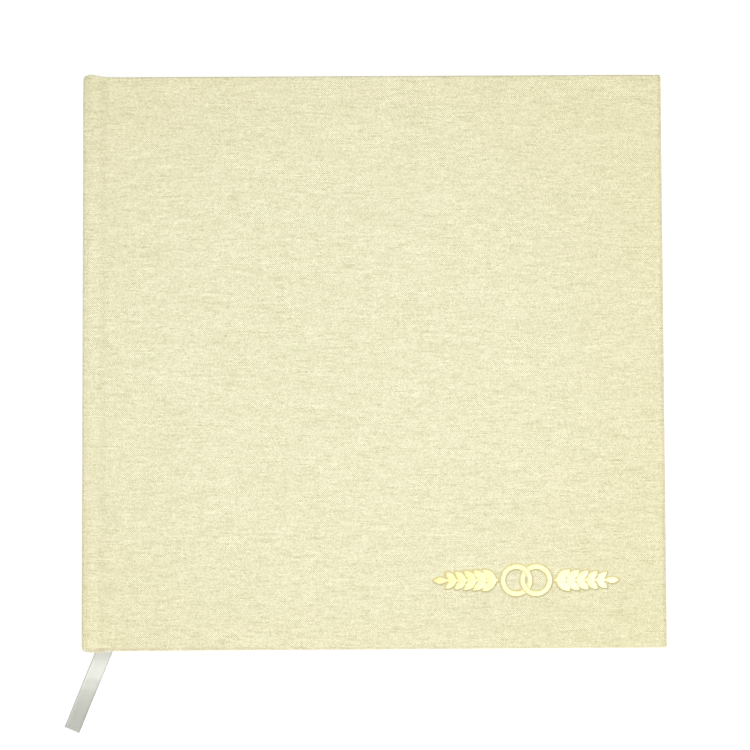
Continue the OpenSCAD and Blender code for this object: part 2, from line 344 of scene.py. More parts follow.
def grey_board():
    """Recycled bookbinder's board with dark and pale flecks."""
    g = Graph("grey_board")
    x, y, z = g.xyz(g.object)
    p = g.vec(g.mul(x, 1000.0), g.mul(y, 1000.0), g.mul(z, 1000.0))
    fleck = g.noise(p, 1.6, 4.0, 0.75)
    cloud = g.noise(p, 0.12, 2.0, 0.5)
    tone = g.mix(g.mapr(fleck, 0.35, 0.65, 0.0, 1.0), (0.25, 0.235, 0.21), (0.42, 0.40, 0.365))
    g.put(g.bsdf.inputs["Base Color"], g.scale_colour(tone, g.add(0.9, g.mul(cloud, 0.2))))
    g.put(g.bsdf.inputs["Normal"], g.bump(fleck, 0.00008, 0.6))
    return g.set(Roughness=g.mapr(fleck, 0.3, 0.7, 0.85, 0.95), Specular_IOR_Level=0.2)


def kraft():
    g = Graph("kraft_paper")
    x, y, z = g.xyz(g.object)
    along = g.noise(g.vec(g.mul(x, 1000.0), g.mul(y, 120.0), g.mul(z, 900.0)), 1.0, 4.0, 0.7)
    tone = g.mix(g.mapr(along, 0.3, 0.7, 0.0, 1.0), (0.60, 0.52, 0.40), (0.72, 0.65, 0.53))
    g.put(g.bsdf.inputs["Base Color"], tone)
    g.put(g.bsdf.inputs["Normal"], g.bump(along, 0.00006, 0.5))
    return g.set(Roughness=g.mapr(along, 0.3, 0.7, 0.75, 0.9), Specular_IOR_Level=0.3)


def mull_cloth():
    """Open, starched cotton gauze in glue."""
    g = Graph("mull_gauze")
    x, y, z = g.xyz(g.object)
    a = g.m("SINE", g.mul(y, 1000 * math.pi / 0.9))
    b = g.m("SINE", g.mul(z, 1000 * math.pi / 0.9))
    w = g.m("MAXIMUM", g.m("ABSOLUTE", a), g.m("ABSOLUTE", b))
    fuzz = g.noise(g.vec(g.mul(x, 1000.0), g.mul(y, 1000.0), g.mul(z, 1000.0)), 1.4, 3.0, 0.6)
    tone = g.mix(g.mapr(w, 0.82, 0.97, 0.0, 1.0), (0.56, 0.50, 0.36), (0.86, 0.83, 0.73))
    g.put(g.bsdf.inputs["Base Color"], g.scale_colour(tone, g.add(0.9, g.mul(fuzz, 0.2))))
    g.put(g.bsdf.inputs["Normal"], g.bump(g.add(w, g.mul(fuzz, 0.3)), 0.0001, 0.7))
    return g.set(Roughness=g.mapr(fuzz, 0.3, 0.7, 0.8, 0.95), Specular_IOR_Level=0.25)


def band_thread():
    """Two-colour woven book band: cream and gold-cream turns of thread."""
    g = Graph("woven_band")
    x, y, z = g.xyz(g.object)
    turn = g.m("SINE", g.mul(z, 1000 * math.pi / 0.8))
    strand = g.noise(g.vec(g.mul(x, 4000.0), g.mul(y, 4000.0), g.mul(z, 9000.0)), 1.0, 2.0, 0.6)
    tone = g.mix(g.mapr(turn, -0.15, 0.15, 0.0, 1.0), (0.90, 0.87, 0.77), (0.72, 0.62, 0.36))
    g.put(g.bsdf.inputs["Base Color"], g.scale_colour(tone, g.add(0.88, g.mul(strand, 0.24))))
    g.put(g.bsdf.inputs["Normal"], g.bump(strand, 0.00006, 0.6))
    return g.set(Roughness=g.mapr(strand, 0.3, 0.7, 0.45, 0.65), Specular_IOR_Level=0.4, Sheen_Weight=0.2)


def thread():
    g = Graph("linen_thread")
    x, y, z = g.xyz(g.object)
    twist = g.m("SINE", g.mul(g.add(g.mul(y, 1.0), g.mul(z, 1.4), x), 1000 * math.pi / 0.22))
    fuzz = g.noise(g.vec(g.mul(x, 3000.0), g.mul(y, 3000.0), g.mul(z, 3000.0)), 1.0, 2.0, 0.6)
    g.put(g.bsdf.inputs["Base Color"], g.mix(g.mapr(g.add(twist, g.mul(fuzz, 0.5)), -1.0, 1.2, 0.0, 1.0), (0.70, 0.64, 0.50), (0.90, 0.86, 0.74)))
    g.put(g.bsdf.inputs["Normal"], g.bump(twist, 0.00005, 0.6))
    return g.set(Roughness=g.mapr(fuzz, 0.3, 0.7, 0.6, 0.8), Specular_IOR_Level=0.3)


def satin():
    """White satin ribbon: lustrous floats along its length, firmer woven edges."""
    g = Graph("white_satin")
    attr = g.tree.nodes.new("ShaderNodeAttribute")
    attr.attribute_type = "GEOMETRY"
    attr.attribute_name = "strip"
    s, w, _ = g.xyz(attr.outputs["Vector"])  # mm along the ribbon, and -1 to 1 across it
    wa = g.m("ABSOLUTE", w)
    edge = g.mapr(wa, 0.90, 0.955, 0.0, 1.0, True)
    floats = g.noise(g.vec(g.mul(s, 0.35), g.mul(w, 34.0)), 1.0, 3.0, 0.65, "2D")
    picks = g.m("SINE", g.mul(s, 2 * math.pi / 0.42))
    cord = g.m("SINE", g.mul(s, 2 * math.pi / 0.62))
    soft = g.noise(g.vec(g.mul(s, 0.05), g.mul(w, 1.2)), 1.0, 2.0, 0.5, "2D")
    tone = g.mix(edge, (0.56, 0.563, 0.515), (0.41, 0.405, 0.36))
    shade = g.add(0.985, g.mul(g.sub(floats, 0.5), 0.07), g.mul(picks, 0.008), g.mul(g.sub(soft, 0.5), 0.05), g.mul(edge, g.mul(cord, 0.05)))
    g.put(g.bsdf.inputs["Base Color"], g.scale_colour(tone, shade))
    g.put(g.bsdf.inputs["Normal"], g.bump(g.add(g.mul(floats, 0.8), g.mul(picks, 0.12), g.mul(edge, g.mul(cord, 0.6))), 0.00004, 0.5))
    rough = g.add(g.mapr(floats, 0.3, 0.7, 0.38, 0.47), g.mul(edge, 0.20))
    return g.set(Metallic=0.76, Roughness=rough, Specular_IOR_Level=0.6)


M = {
    "linen": linen(), "foil": foil(), "board": grey_board(), "kraft": kraft(), "mull": mull_cloth(),
    "band": band_thread(), "thread": thread(), "satin": satin(),
    "leaf": leaf_paper("leaf_paper", (0.885, 0.865, 0.785), 0.16),
    "endpaper": leaf_paper("endpaper", (0.875, 0.850, 0.745), 0.10),
}

# ------------------------------------------------------------------ mesh helpers


def put(name, verts, faces, material, body=None, nodes=(), smooth=True, angle=40, attributes=None):
    """A mesh object from points in mm. It rides on body and stands for the CAD nodes."""
    me = bpy.data.meshes.new(name)
    me.from_pydata((np.asarray(verts, float) * MM).tolist(), [], [tuple(int(k) for k in f) for f in faces])
    me.validate()
    for key, values in (attributes or {}).items():
        a = me.attributes.new(key, "FLOAT_VECTOR", "POINT")
        a.data.foreach_set("vector", np.asarray(values, np.float32).ravel())
    o = bpy.data.objects.new(name, me)
    scene.collection.objects.link(o)
    me.materials.append(M[material])
    if smooth:
        me.shade_smooth()
        if angle:
            me.set_sharp_from_angle(angle=math.radians(angle))
    if body:
        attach(o, body)
    if nodes:
        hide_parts(*nodes)
    return o


def tube(loops, close_start=True, close_end=True, flip=False):
    """Faces between closed loops of the same length. Each end is closed by quads between the loop's two halves, which mirror each other."""
    n, k = len(loops), len(loops[0])
    verts = np.concatenate([np.asarray(l, float) for l in loops])
    faces = []
    for i in range(n - 1):
        for j in range(k):
            a, b = i * k + j, i * k + (j + 1) % k
            faces.append((a, b, b + k, a + k))
    for close, base, turn in ((close_start, 0, True), (close_end, (n - 1) * k, False)):
        if close:
            for j in range(k // 2 - 1):
                q = (base + j, base + j + 1, base + k - 2 - j, base + k - 1 - j)
                faces.append(q[::-1] if turn else q)
    if flip:
        faces = [f[::-1] for f in faces]
    return verts, faces


def outward(o):
    """Turn the faces of a closed mesh outwards."""
    import bmesh

    bm = bmesh.new()
    bm.from_mesh(o.data)
    bmesh.ops.remove_doubles(bm, verts=bm.verts, dist=1e-8)
    bmesh.ops.recalc_face_normals(bm, faces=bm.faces)
    bm.to_mesh(o.data)
    bm.free()
    return o


def smoothstep(a, b, x):
    t = np.clip((np.asarray(x, float) - a) / (b - a), 0, 1)
    return t * t * (3 - 2 * t)

# ------------------------------------------------------------------ ribbon bookmark (a flat cord)

# the same route as the design's: x, y, z in mm and the turn of the width from upright (0) to flat (90)
ROUTE = [
    (-111.95, 84, 11, 0), (-111.95, 93, 11, 0), (-111.95, 102, 11, 0), (-111.95, 107.5, 11, 0),
    (-111.95, 109.8, 11, 0), (-111.85, 111.5, 11, 0), (-111.45, 112.8, 11, 2), (-110.6, 113.8, 11, 7),
    (-109.5, 114.3, 10.9, 18), (-108.4, 114.15, 10.7, 38), (-107.5, 113.4, 10.38, 60), (-106.95, 112.4, 10.05, 80),
    (-106.7, 111.2, 9.8, 90), (-106.6, 107, 9.8, 90), (-106.3, 90, 9.8, 90), (-105.9, 65, 9.8, 90),
    (-105.5, 40, 9.8, 90), (-105.1, 15, 9.8, 90), (-104.7, -10, 9.8, 90), (-104.3, -35, 9.8, 90),
    (-103.9, -60, 9.8, 90), (-103.6, -78, 9.8, 90), (-103.5, -88, 9.8, 90), (-103.7, -95, 9.8, 90),
    (-104.3, -101, 9.8, 90), (-105.1, -107, 9.8, 90), (-105.9, -110.6, 9.8, 90), (-106.3, -112, 9.7, 90),
    (-107.1, -113.8, 9, 90), (-107.8, -115.4, 8, 90), (-108.6, -117, 6.9, 90), (-109.4, -118.7, 5.8, 90),
    (-110.1, -120.3, 4.9, 90), (-110.9, -122, 4.05, 90), (-111.8, -124, 3.2, 90), (-112.7, -126, 2.5, 90),
    (-113.8, -128.5, 1.9, 90), (-114.8, -130.9, 1.4, 90), (-116, -133.7, 1, 90), (-117.2, -136.5, 0.7, 90),
    (-118.5, -139.7, 0.5, 90), (-119.8, -142.9, 0.4, 90), (-121.5, -146.9, 0.3, 90),
]
RIBBON_W, RIBBON_T = 6.35, 0.2
FREE_FROM = 3  # the route's first points are glued behind the leaves


def spline(points, per):
    """Centripetal Catmull-Rom through the points."""
    p = np.asarray(points, float)
    p = np.vstack([2 * p[0] - p[1], p, 2 * p[-1] - p[-2]])
    out = []
    for i in range(1, len(p) - 2):
        p0, p1, p2, p3 = p[i - 1 : i + 3]
        t = [0.0]
        for a, b in ((p0, p1), (p1, p2), (p2, p3)):
            t.append(t[-1] + max(np.linalg.norm((b - a)[:3]), 1e-6) ** 0.5)
        t0, t1, t2, t3 = t
        for s in np.linspace(t1, t2, per, endpoint=False):
            a1 = (t1 - s) / (t1 - t0) * p0 + (s - t0) / (t1 - t0) * p1
            a2 = (t2 - s) / (t2 - t1) * p1 + (s - t1) / (t2 - t1) * p2
            a3 = (t3 - s) / (t3 - t2) * p2 + (s - t2) / (t3 - t2) * p3
            b1 = (t2 - s) / (t2 - t0) * a1 + (s - t0) / (t2 - t0) * a2
            b2 = (t3 - s) / (t3 - t1) * a2 + (s - t1) / (t3 - t1) * a3
            out.append((t2 - s) / (t2 - t1) * b1 + (s - t1) / (t2 - t1) * b2)
    out.append(p[-2])
    return np.array(out)


def strip(name, line, start_s, cut):
    """A ribbon along line: satin body 0.2 mm thick, with firmer corded edges. cut slants its far end."""
    c, turn = line[:, :3], np.radians(line[:, 3])
    tangent = np.gradient(c, axis=0)
    tangent /= np.linalg.norm(tangent, axis=1)[:, None]
    width = np.stack([np.sin(turn), np.zeros(len(c)), np.cos(turn)], 1)
    width -= tangent * np.sum(tangent * width, 1)[:, None]
    width /= np.linalg.norm(width, axis=1)[:, None]
    normal = np.cross(tangent, width)
    s = start_s + np.concatenate([[0], np.cumsum(np.linalg.norm(np.diff(c, axis=0), axis=1))])
    across = np.array([-1, -0.985, -0.955, -0.92, -0.885, -0.86, -0.55, -0.2, 0.2, 0.55, 0.86, 0.885, 0.92, 0.955, 0.985, 1])
    half_t = np.array([0.05, 0.085, 0.1, 0.1, 0.088, 0.082, 0.084, 0.086, 0.086, 0.084, 0.082, 0.088, 0.1, 0.1, 0.085, 0.05])
    loops, attribute = [], []
    for i in range(len(c)):
        slant = cut * across * (RIBBON_W / 2) * float(smoothstep(s[-1] - 6, s[-1], s[i]))
        base = c[i] + np.outer(across * RIBBON_W / 2, width[i]) + np.outer(slant, tangent[i])
        top, low = base + np.outer(half_t, normal[i]), base - np.outer(half_t, normal[i])
        loops.append(np.vstack([top, low[::-1]]))
        attribute.append(np.stack([np.full(32, s[i]), np.concatenate([across, across[::-1]]), np.zeros(32)], 1))
    verts, faces = tube(loops)
    o = put(name, verts, faces, "satin", attributes={"strip": np.concatenate(attribute)})
    outward(o)
    return o, s[-1] - s[0]


whole = spline(ROUTE, 12)
cut_at = FREE_FROM * 12
glued, glued_mm = strip("ribbon_glued_end", whole[: cut_at + 1], 0.0, 0.0)
ribbon, free_mm = strip("ribbon_bookmark_tail", whole[cut_at:], glued_mm, 0.0)
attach(glued, "spine")
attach(ribbon, "leaves_06")
for o in (glued, ribbon):
    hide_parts("ribbon_bookmark")

# ------------------------------------------------------------------ sheets of cloth and paper


def fillet(corner_x, corner_z, r, a0, a1, n):
    a = np.radians(np.linspace(a0, a1, n))
    return [(corner_x + r * math.cos(t), corner_z + r * math.sin(t)) for t in a]


def outline(inset):
    """Plan outline of a cover, inset mm in from its edge, from the joint along the tail, fore edge and head: (x, y)."""
    r = 1.0
    x, y = HW - inset, HH - inset
    k = max(r - inset, 0.0)
    pts = [(-105.2, -y)]
    for cx, cy, a0 in ((HW - max(r, inset), -(HH - max(r, inset)), -90), (HW - max(r, inset), HH - max(r, inset), 0)):
        pts += fillet(cx, cy, k, a0, a0 + 90, 7)
    pts += [(-105.2, y)]
    return pts


def lens(x, y, l, w):
    r = (l * l + w * w) / (4 * w)
    return np.maximum(np.hypot(x - l / 2, y - w / 2 + r) - r, np.hypot(x - l / 2, y - r + w / 2) - r)


def ornament_distance(x, y):
    """Signed distance, in mm, to the linked rings and leafy sprigs: negative inside."""
    ring_r, ring_w, link, pairs = 6.2, 1.7, 3.9, 5

    def band(s, grow=0.0):
        return np.abs(np.hypot(x - s * link, y) - (ring_r - ring_w / 2)) - ring_w / 2 - grow

    d = np.full(np.shape(x), 1e3)
    for s in (-1, 1):
        half = -s * y  # negative on the side where the other ring passes over
        cut = np.maximum(band(-s, 0.35), half)
        d = np.minimum(d, np.maximum(band(s), -cut))
    ax = np.abs(x) - (link + ring_r + 1.1)
    reach = 20.6
    stem = np.maximum(np.abs(ax - (reach + 1) / 2) - (reach + 1) / 2, np.abs(y) - 0.4)
    d = np.minimum(d, stem)
    for i in range(pairs):
        l = 6.6 - 0.4 * i
        px, turn = ax - (0.8 + i * reach / (pairs + 0.2)), math.radians(38)
        for s in (-1, 1):
            u = px * math.cos(turn) + s * y * math.sin(turn)
            v = -px * math.sin(turn) + s * y * math.cos(turn)
            d = np.minimum(d, lens(u, v, l, l * 0.46))
    return np.minimum(d, lens(ax - reach + 0.4, y, 5, 2.3))


PATCH = (37.6, 7.8)
STEP = 0.2


def cover_cloth(name, front):
    """Cloth over a board: the face, rounded edges and 15 mm turn-ins. The front one is pressed in where the foil lies."""
    e, lower = 0.85, 0.5
    top, inside = T, T - COVER_T
    profile = [(6.0, top), (3.0, top)]
    profile += [(e - e * math.sin(t), top - e + e * math.cos(t)) for t in np.radians(np.linspace(0, 90, 8))]
    profile += [(0.0, top - 1.6)]
    profile += [(lower - lower * math.cos(t), inside + lower - lower * math.sin(t)) for t in np.radians(np.linspace(0, 90, 6))]
    profile += [(8.0, inside), (14.7, inside), (14.95, inside + 0.05), (15.0, inside + 0.15), (14.95, inside + 0.28)]
    profile += [(8.0, inside + 0.3), (0.42, inside + 0.3), (0.42, top - 0.42), (6.0, top - 0.4)]
    n_s = len(outline(0))
    verts = []
    for inset, z in profile:
        verts += [(x, y, z) for x, y in outline(inset)]
    faces = []
    for j in range(len(profile) - 1):
        for i in range(n_s - 1):
            a = j * n_s + i
            faces.append((a, a + 1, a + 1 + n_s, a + n_s))
    # the two cut ends at the joint
    faces.append([j * n_s for j in range(len(profile))])
    faces.append([j * n_s + n_s - 1 for j in range(len(profile))][::-1])
    last = (len(profile) - 1) * n_s
    faces.append((0, last, last + n_s - 1, n_s - 1))
    faces.append([last + i for i in range(n_s)])
    if not front:
        faces.append([n_s - 1 - i for i in range(n_s)])
    else:
        ox, oy = ORNAMENT
        nx, ny = int(2 * PATCH[0] / STEP) + 1, int(2 * PATCH[1] / STEP) + 1
        gx, gy = np.meshgrid(np.linspace(-PATCH[0], PATCH[0], nx), np.linspace(-PATCH[1], PATCH[1], ny), indexing="ij")
        d = ornament_distance(gx, gy)
        dip = 0.2 * (1 - smoothstep(0.14, 0.72, d))
        base = len(verts)
        verts += list(np.stack([gx + ox, gy + oy, top - dip], -1).reshape(-1, 3))
        for i in range(nx - 1):
            for j in range(ny - 1):
                a = base + i * ny + j
                faces.append((a, a + ny, a + ny + 1, a + 1))
        at = lambda i, j: base + i * ny + j
        tail_side = [at(i, 0) for i in range(nx)]
        fore_side = [at(nx - 1, j) for j in range(ny)]
        head_side = [at(i, ny - 1) for i in range(nx)][::-1]
        joint_side = [at(0, j) for j in range(ny)][::-1]
        mid = 4  # any of the points that fall together at a corner
        b, c = 1 + 3, 1 + 7 + 3
        faces.append([0, b] + tail_side[::-1])
        faces.append([b, c] + fore_side[::-1])
        faces.append([c, n_s - 1] + head_side[::-1])
        faces.append([n_s - 1, 0] + joint_side[::-1])
    verts = np.array(verts, float)
    # at the tail the cloth stands a little proud next to the joint
    proud = 0.62 * (1 - smoothstep(-105.2, -70, verts[:, 0])) * smoothstep(-100, -112, verts[:, 1])
    verts[:, 1] -= proud
    # marks the ring round the foil where the linen is flattened and darkened; the darkening is partly painted shade of
    # the dip
    press_and_shade = np.zeros((len(verts), 3))
    if front:
        press_and_shade[base:, 0] = np.clip(1.15 - np.abs(d.ravel() - 0.34) / 0.42, 0, 1)
    else:
        verts[:, 2] = T - verts[:, 2]
    body = "front_cover" if front else "back_cover"
    o = put(name, verts, faces, "linen", body, [("front" if front else "back") + "_cover_cloth"], angle=35, attributes={"press_and_shade": press_and_shade})
    outward(o)
    return o


front_cloth = cover_cloth("front_cover_linen", True)
back_cloth = cover_cloth("back_cover_linen", False)


def clip_grid(d, x, y):
    """The part of a grid where d is negative, as points, faces and the distance at each point."""
    nx, ny = d.shape
    points, depth, index, faces = [], [], {}, []

    def corner(i, j):
        k = (i, j)
        if k not in index:
            index[k] = len(points)
            points.append((x[i], y[j]))
            depth.append(d[i, j])
        return index[k]

    def crossing(i0, j0, i1, j1):
        k = (min((i0, j0), (i1, j1)), max((i0, j0), (i1, j1)))
        if k not in index:
            (a, b), (c, e) = k
            t = min(max(d[a, b] / (d[a, b] - d[c, e]), 0.04), 0.96)
            index[k] = len(points)
            points.append((x[a] + t * (x[c] - x[a]), y[b] + t * (y[e] - y[b])))
            depth.append(0.0)
        return index[k]

    inside = d < 0
    some = inside[:-1, :-1] | inside[1:, :-1] | inside[1:, 1:] | inside[:-1, 1:]
    for i, j in zip(*np.nonzero(some)):
        ring = [(i, j), (i + 1, j), (i + 1, j + 1), (i, j + 1)]
        poly = []
        for k in range(4):
            a, b = ring[k], ring[(k + 1) % 4]
            if inside[a]:
                poly.append(corner(*a))
            if inside[a] != inside[b]:
                poly.append(crossing(*a, *b))
        faces.append(poly)
    return points, faces, depth


def foil_piece():
    nx, ny = int(2 * PATCH[0] / STEP) + 1, int(2 * PATCH[1] / STEP) + 1
    x, y = np.linspace(-PATCH[0], PATCH[0], nx), np.linspace(-PATCH[1], PATCH[1], ny)
    gx, gy = np.meshgrid(x, y, indexing="ij")
    points, faces, depth = clip_grid(ornament_distance(gx, gy), x, y)
    ox, oy = ORNAMENT
    crown = 0.055 * np.sqrt(np.clip(-np.array(depth) / 0.55, 0, 1))
    p = np.array(points) + (ox, oy)
    n = len(p)
    verts = np.vstack([np.column_stack([p, T - 0.17 + crown]), np.column_stack([p, np.full(n, T - 0.215)])])
    edges = {}
    for f in faces:
        for a, b in zip(f, f[1:] + f[:1]):
            edges[(a, b)] = edges.get((a, b), 0) + 1
    walls = [(b, a, a + n, b + n) for (a, b) in edges if (b, a) not in edges]
    low = [tuple(k + n for k in f[::-1]) for f in faces]
    o = put("foil_linked_rings_and_sprigs", verts, faces + low + walls, "foil", "front_cover", ["foil_ornament"], angle=50)
    return outward(o)


foil_piece()

# ------------------------------------------------------------------ joint cloth and spine


def joint_strip(name, front):
    """The cloth that bends: from the spine's shoulder, over a shallow groove, to the board. Its ends are turned in."""
    xs = np.array([-113.38, -113.2, -112.9, -112.6, -112.2, -111.6, -111, -110.3, -109.6, -108.9, -108.2, -107.5, -106.8, -106.2, -105.7, -105.2])
    dip = 0.5 * np.sin(np.clip((xs + 113.2) / 8.0, 0, 1) * math.pi) ** 2
    head = 114 + 1.05 * (1 - smoothstep(-112.6, -105.4, xs)) - 0.42 * (1 - smoothstep(-114.1, -112.9, xs))
    tail = 114.62 + 0.66 * (1 - smoothstep(-109.2, -105.2, xs)) - 0.32 * (1 - smoothstep(-112.9, -108.9, xs)) - 0.42 * (1 - smoothstep(-114.1, -112.9, xs))
    loops = []
    for x, d, yh, yt in zip(xs, dip, head, tail):
        h = 0.095 if x < -112.55 else 0.19
        r = h + 0.008
        z = T - d - h
        arc = np.linspace(0, math.pi, 9)
        c = [(-99.0, z - 2 * r)] + [(-105.0, z - 2 * r)]
        n = [(0, -1)] * 2
        for t in arc:
            c.append((-(yt - h - r) - r * math.sin(t), z - r - r * math.cos(t)))
            n.append((-math.sin(t), -math.cos(t)))
        for y in (-80.0, 0.0, 80.0):
            c.append((y, z))
            n.append((0, 1))
        for t in arc[::-1]:
            c.append(((yh - h - r) + r * math.sin(t), z - r - r * math.cos(t)))
            n.append((math.sin(t), -math.cos(t)))
        c += [(105.0, z - 2 * r), (99.0, z - 2 * r)]
        n += [(0, -1)] * 2
        c, n = np.array(c), np.array(n)
        ring = np.vstack([c + n * h, (c - n * h)[::-1]])
        loops.append(np.column_stack([np.full(len(ring), x), ring]))
    verts, faces = tube(loops)
    if not front:
        verts[:, 2] = T - verts[:, 2]
    which = "front" if front else "back"
    o = put(name, verts, faces, "linen", which + "_cover", [which + "_joint_cloth"], angle=50)
    return outward(o)


front_joint = joint_strip("front_joint_linen", True)
back_joint = joint_strip("back_joint_linen", False)


def spine_piece():
    """Cloth over the spine board: rounded shoulders and domed ends, with the board showing inside between the turn-ins."""
    def loop(y, d, middle):
        xi = -113.25 if middle else -112.75 - 0.4 * d
        r = SHOULDER - d
        a = np.radians(np.linspace(90, 180, 9))
        upper = [(xi, 9.8), (xi, 17.6 - d)]
        if middle:
            upper += [(xi, 18.55), (-113.3, 19.1), (-113.4, 19.5)]
        else:
            upper += [(xi + k * (-113.4 - xi), z - d) for k, z in ((0.15, 18.5), (0.5, 19.0), (1.0, 19.5))]
        upper += [(-113.46, T - d)]
        upper += [(HINGE_X + r * math.cos(t), ZF + r * math.sin(t)) for t in a]
        upper += [(-HW + d, 14.0)]
        lower = [(px, T - pz) for px, pz in upper[1:]][::-1]
        pts = upper + [(-HW + d, 9.8)] + lower
        return [(px, y, pz) for px, pz in pts]

    ends = [112.4 + 2.4 * math.sin(t) for t in np.radians(np.linspace(0, 90, 12))]
    bulge = [1.22 * (1 - math.cos(t)) for t in np.radians(np.linspace(0, 90, 12))]
    rows = [(-y, d, False) for y, d in zip(ends, bulge)][::-1]
    rows += [(-98.75, 0, False), (-98.6, 0, True), (-50, 0, True), (0, 0, True), (50, 0, True), (98.6, 0, True), (98.75, 0, False)]
    rows += [(y, d, False) for y, d in zip(ends, bulge)]
    loops = [loop(*r) for r in rows]
    k = len(loops[0])
    verts = np.array([p for l in loops for p in l])
    faces = []
    for i in range(len(loops) - 1):
        for j in range(k):
            a, b = i * k + j, i * k + (j + 1) % k
            faces.append((a, b, b + k, a + k))
    # the upper and lower halves mirror each other about the middle height
    for base in (0, (len(loops) - 1) * k):
        for j in range(0, k // 2):
            q = [base + j, base + j + 1, base + (k - j - 1) % k, base + (k - j) % k]
            faces.append(list(dict.fromkeys(q)))
    o = put("spine_linen", verts, [f for f in faces if len(f) > 2], "linen", "spine", ["spine_cloth"], angle=42)
    outward(o)
    return o


spine_linen = spine_piece()

# ------------------------------------------------------------------ paper


def noise01(*k):
    """The same number from 0 to 1 each time for the same key."""
    v = math.sin(sum((i + 1) * 12.9898 * (a + 0.137) for i, a in enumerate(k))) * 43758.5453
    return v - math.floor(v)


def paper_band(path, h, y_low, y_high, ys, shift=None):
    """A folded sheet. path is its middle line in (x, z), h half its thickness; y_low and y_high are its ends at each path point."""
    p = np.asarray(path, float)
    t = np.gradient(p, axis=0)
    t /= np.linalg.norm(t, axis=1)[:, None]
    n = np.stack([-t[:, 1], t[:, 0]], 1)
    loops = []
    for f in ys:
        y = np.asarray(y_low) + (np.asarray(y_high) - np.asarray(y_low)) * f
        dz = shift(p[:, 0], y) if shift else 0.0
        a, b = p + n * h, p - n * h
        one = np.column_stack([a[:, 0], y, a[:, 1] + dz])
        two = np.column_stack([b[:, 0], y, b[:, 1] + dz])
        loops.append(np.vstack([one, two[::-1]]))
    return tube(loops)


def join(parts):
    verts, faces, base = [], [], 0
    for v, f in parts:
        verts.append(v)
        faces += [tuple(k + base for k in q) for q in f]
        base += len(v)
    return np.concatenate(verts), faces


def section_piece(n):
    """Four folded sheets, one inside the other, sewn through the fold: eight blank leaves."""
    z0, leaf, t = section_z(n), 0.147, 0.131
    cx = BACK_X + 0.58
    parts = []
    for k in range(4):
        r = 0.58 - k * leaf - t / 2
        lo, hi = z0 + k * leaf + t / 2, z0 + SECTION_T - k * leaf - t / 2
        cut_lo, cut_hi = 0.09 * noise01(n, k, 1), 0.09 * noise01(n, k, 2)
        xs = [FORE_X - 0.02, 75.0, 30.0, -30.0, -80.0, cx + 1.2]
        path = [(x - (cut_lo if i == 0 else 0), lo) for i, x in enumerate(xs)]
        path += [(cx - r * math.sin(a), (lo + hi) / 2 - r * math.cos(a)) for a in np.linspace(0, math.pi, 9 if k < 3 else 5)]
        path += [(x - (cut_hi if i == 5 else 0), hi) for i, x in enumerate(xs[::-1])]
        ends = []
        for side in (3, 4):
            a, b = 0.07 * noise01(n, k, side), 0.07 * noise01(n, k, side + 4)
            ends.append(np.interp(np.arange(len(path)), [0, len(path) * 0.45, len(path) * 0.55, len(path) - 1], [a, a, b, b]))
        parts.append(paper_band(path, t / 2, -BLOCK_H + ends[0], BLOCK_H - ends[1], [0, 0.34, 0.67, 1]))
    v, f = join(parts)
    o = put(f"section_{n:02d}_leaves", v, f, "leaf", body_of_section(n), [f"section_{n:02d}"], angle=50)
    return o


for n in range(1, 11):
    section_piece(n)

XS = [112.1, 103, 101.6, 100.4, 99.2, 97.5, 60, 0, -60, -100, -103.4]
# from the board's inner face the paper turns down its edge and is pasted along the joint cloth: (x, how far it turns down)
INTO_JOINT = [(-104.4, 0.0), (-104.9, 0.02), (-105.2, 0.1), (-105.42, 0.28), (-105.5, 0.6), (-105.58, 1.0), (-105.8, 1.3), (-106.2, 1.42),
              (-106.8, 1.38), (-108.2, 1.24), (-109.2, 1.22), (-110.2, 1.27), (-111, 1.36), (-111.7, 1.42)]


def sink(x, y, sign):
    """The pasted paper dips inside the turn-ins."""
    inner = smoothstep(102.3, 98.8, x) * smoothstep(100.6, 97.6, np.abs(y)) * smoothstep(-111.9, -111.2, x)
    return sign * inner * (0.17 + 0.2 * smoothstep(-105.3, -106.3, x))


YS = [0, 0.004, 0.05, 0.0535, 0.057, 0.062, 0.2, 0.5, 0.8, 0.938, 0.943, 0.9465, 0.95, 0.996, 1]

# the back endpaper: one folded sheet, pasted to the board and free on the block
z_paste, r_fold = COVER_T + PAPER_T / 2, 0.1
fold = [(-112.2, z_paste - 1.3), (-112.27, z_paste - 1.1), (-112.27, z_paste - 0.6), (-112.26, z_paste - 0.2)]
fold += [(-112.15 - r_fold * math.sin(a), z_paste + r_fold - r_fold * math.cos(a)) for a in np.linspace(0.6, math.pi, 15)]
pasted = [(x, z_paste) for x in XS] + [(x, z_paste - d) for x, d in INTO_JOINT]
path = pasted + fold + [(x, z_paste + 2 * r_fold) for x in [-111.6, -108, -60, 0, 60, FORE_X - 0.1]]
half = len(pasted)
y_end = np.interp(np.arange(len(path)), [0, half, half + 18, len(path) - 1], [110.6, 110.6, 110.95, 110.95])
upper_half = np.arange(len(path)) >= half
v, f = paper_band(path, PAPER_T / 2, -y_end, y_end, YS, lambda x, y: np.where(upper_half, 0.0, sink(x, y, -1)))
o = put("back_endpaper", v, f, "endpaper", None, ["back_pastedown", "back_flyleaf"], angle=50)
outward(o)
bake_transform(o)

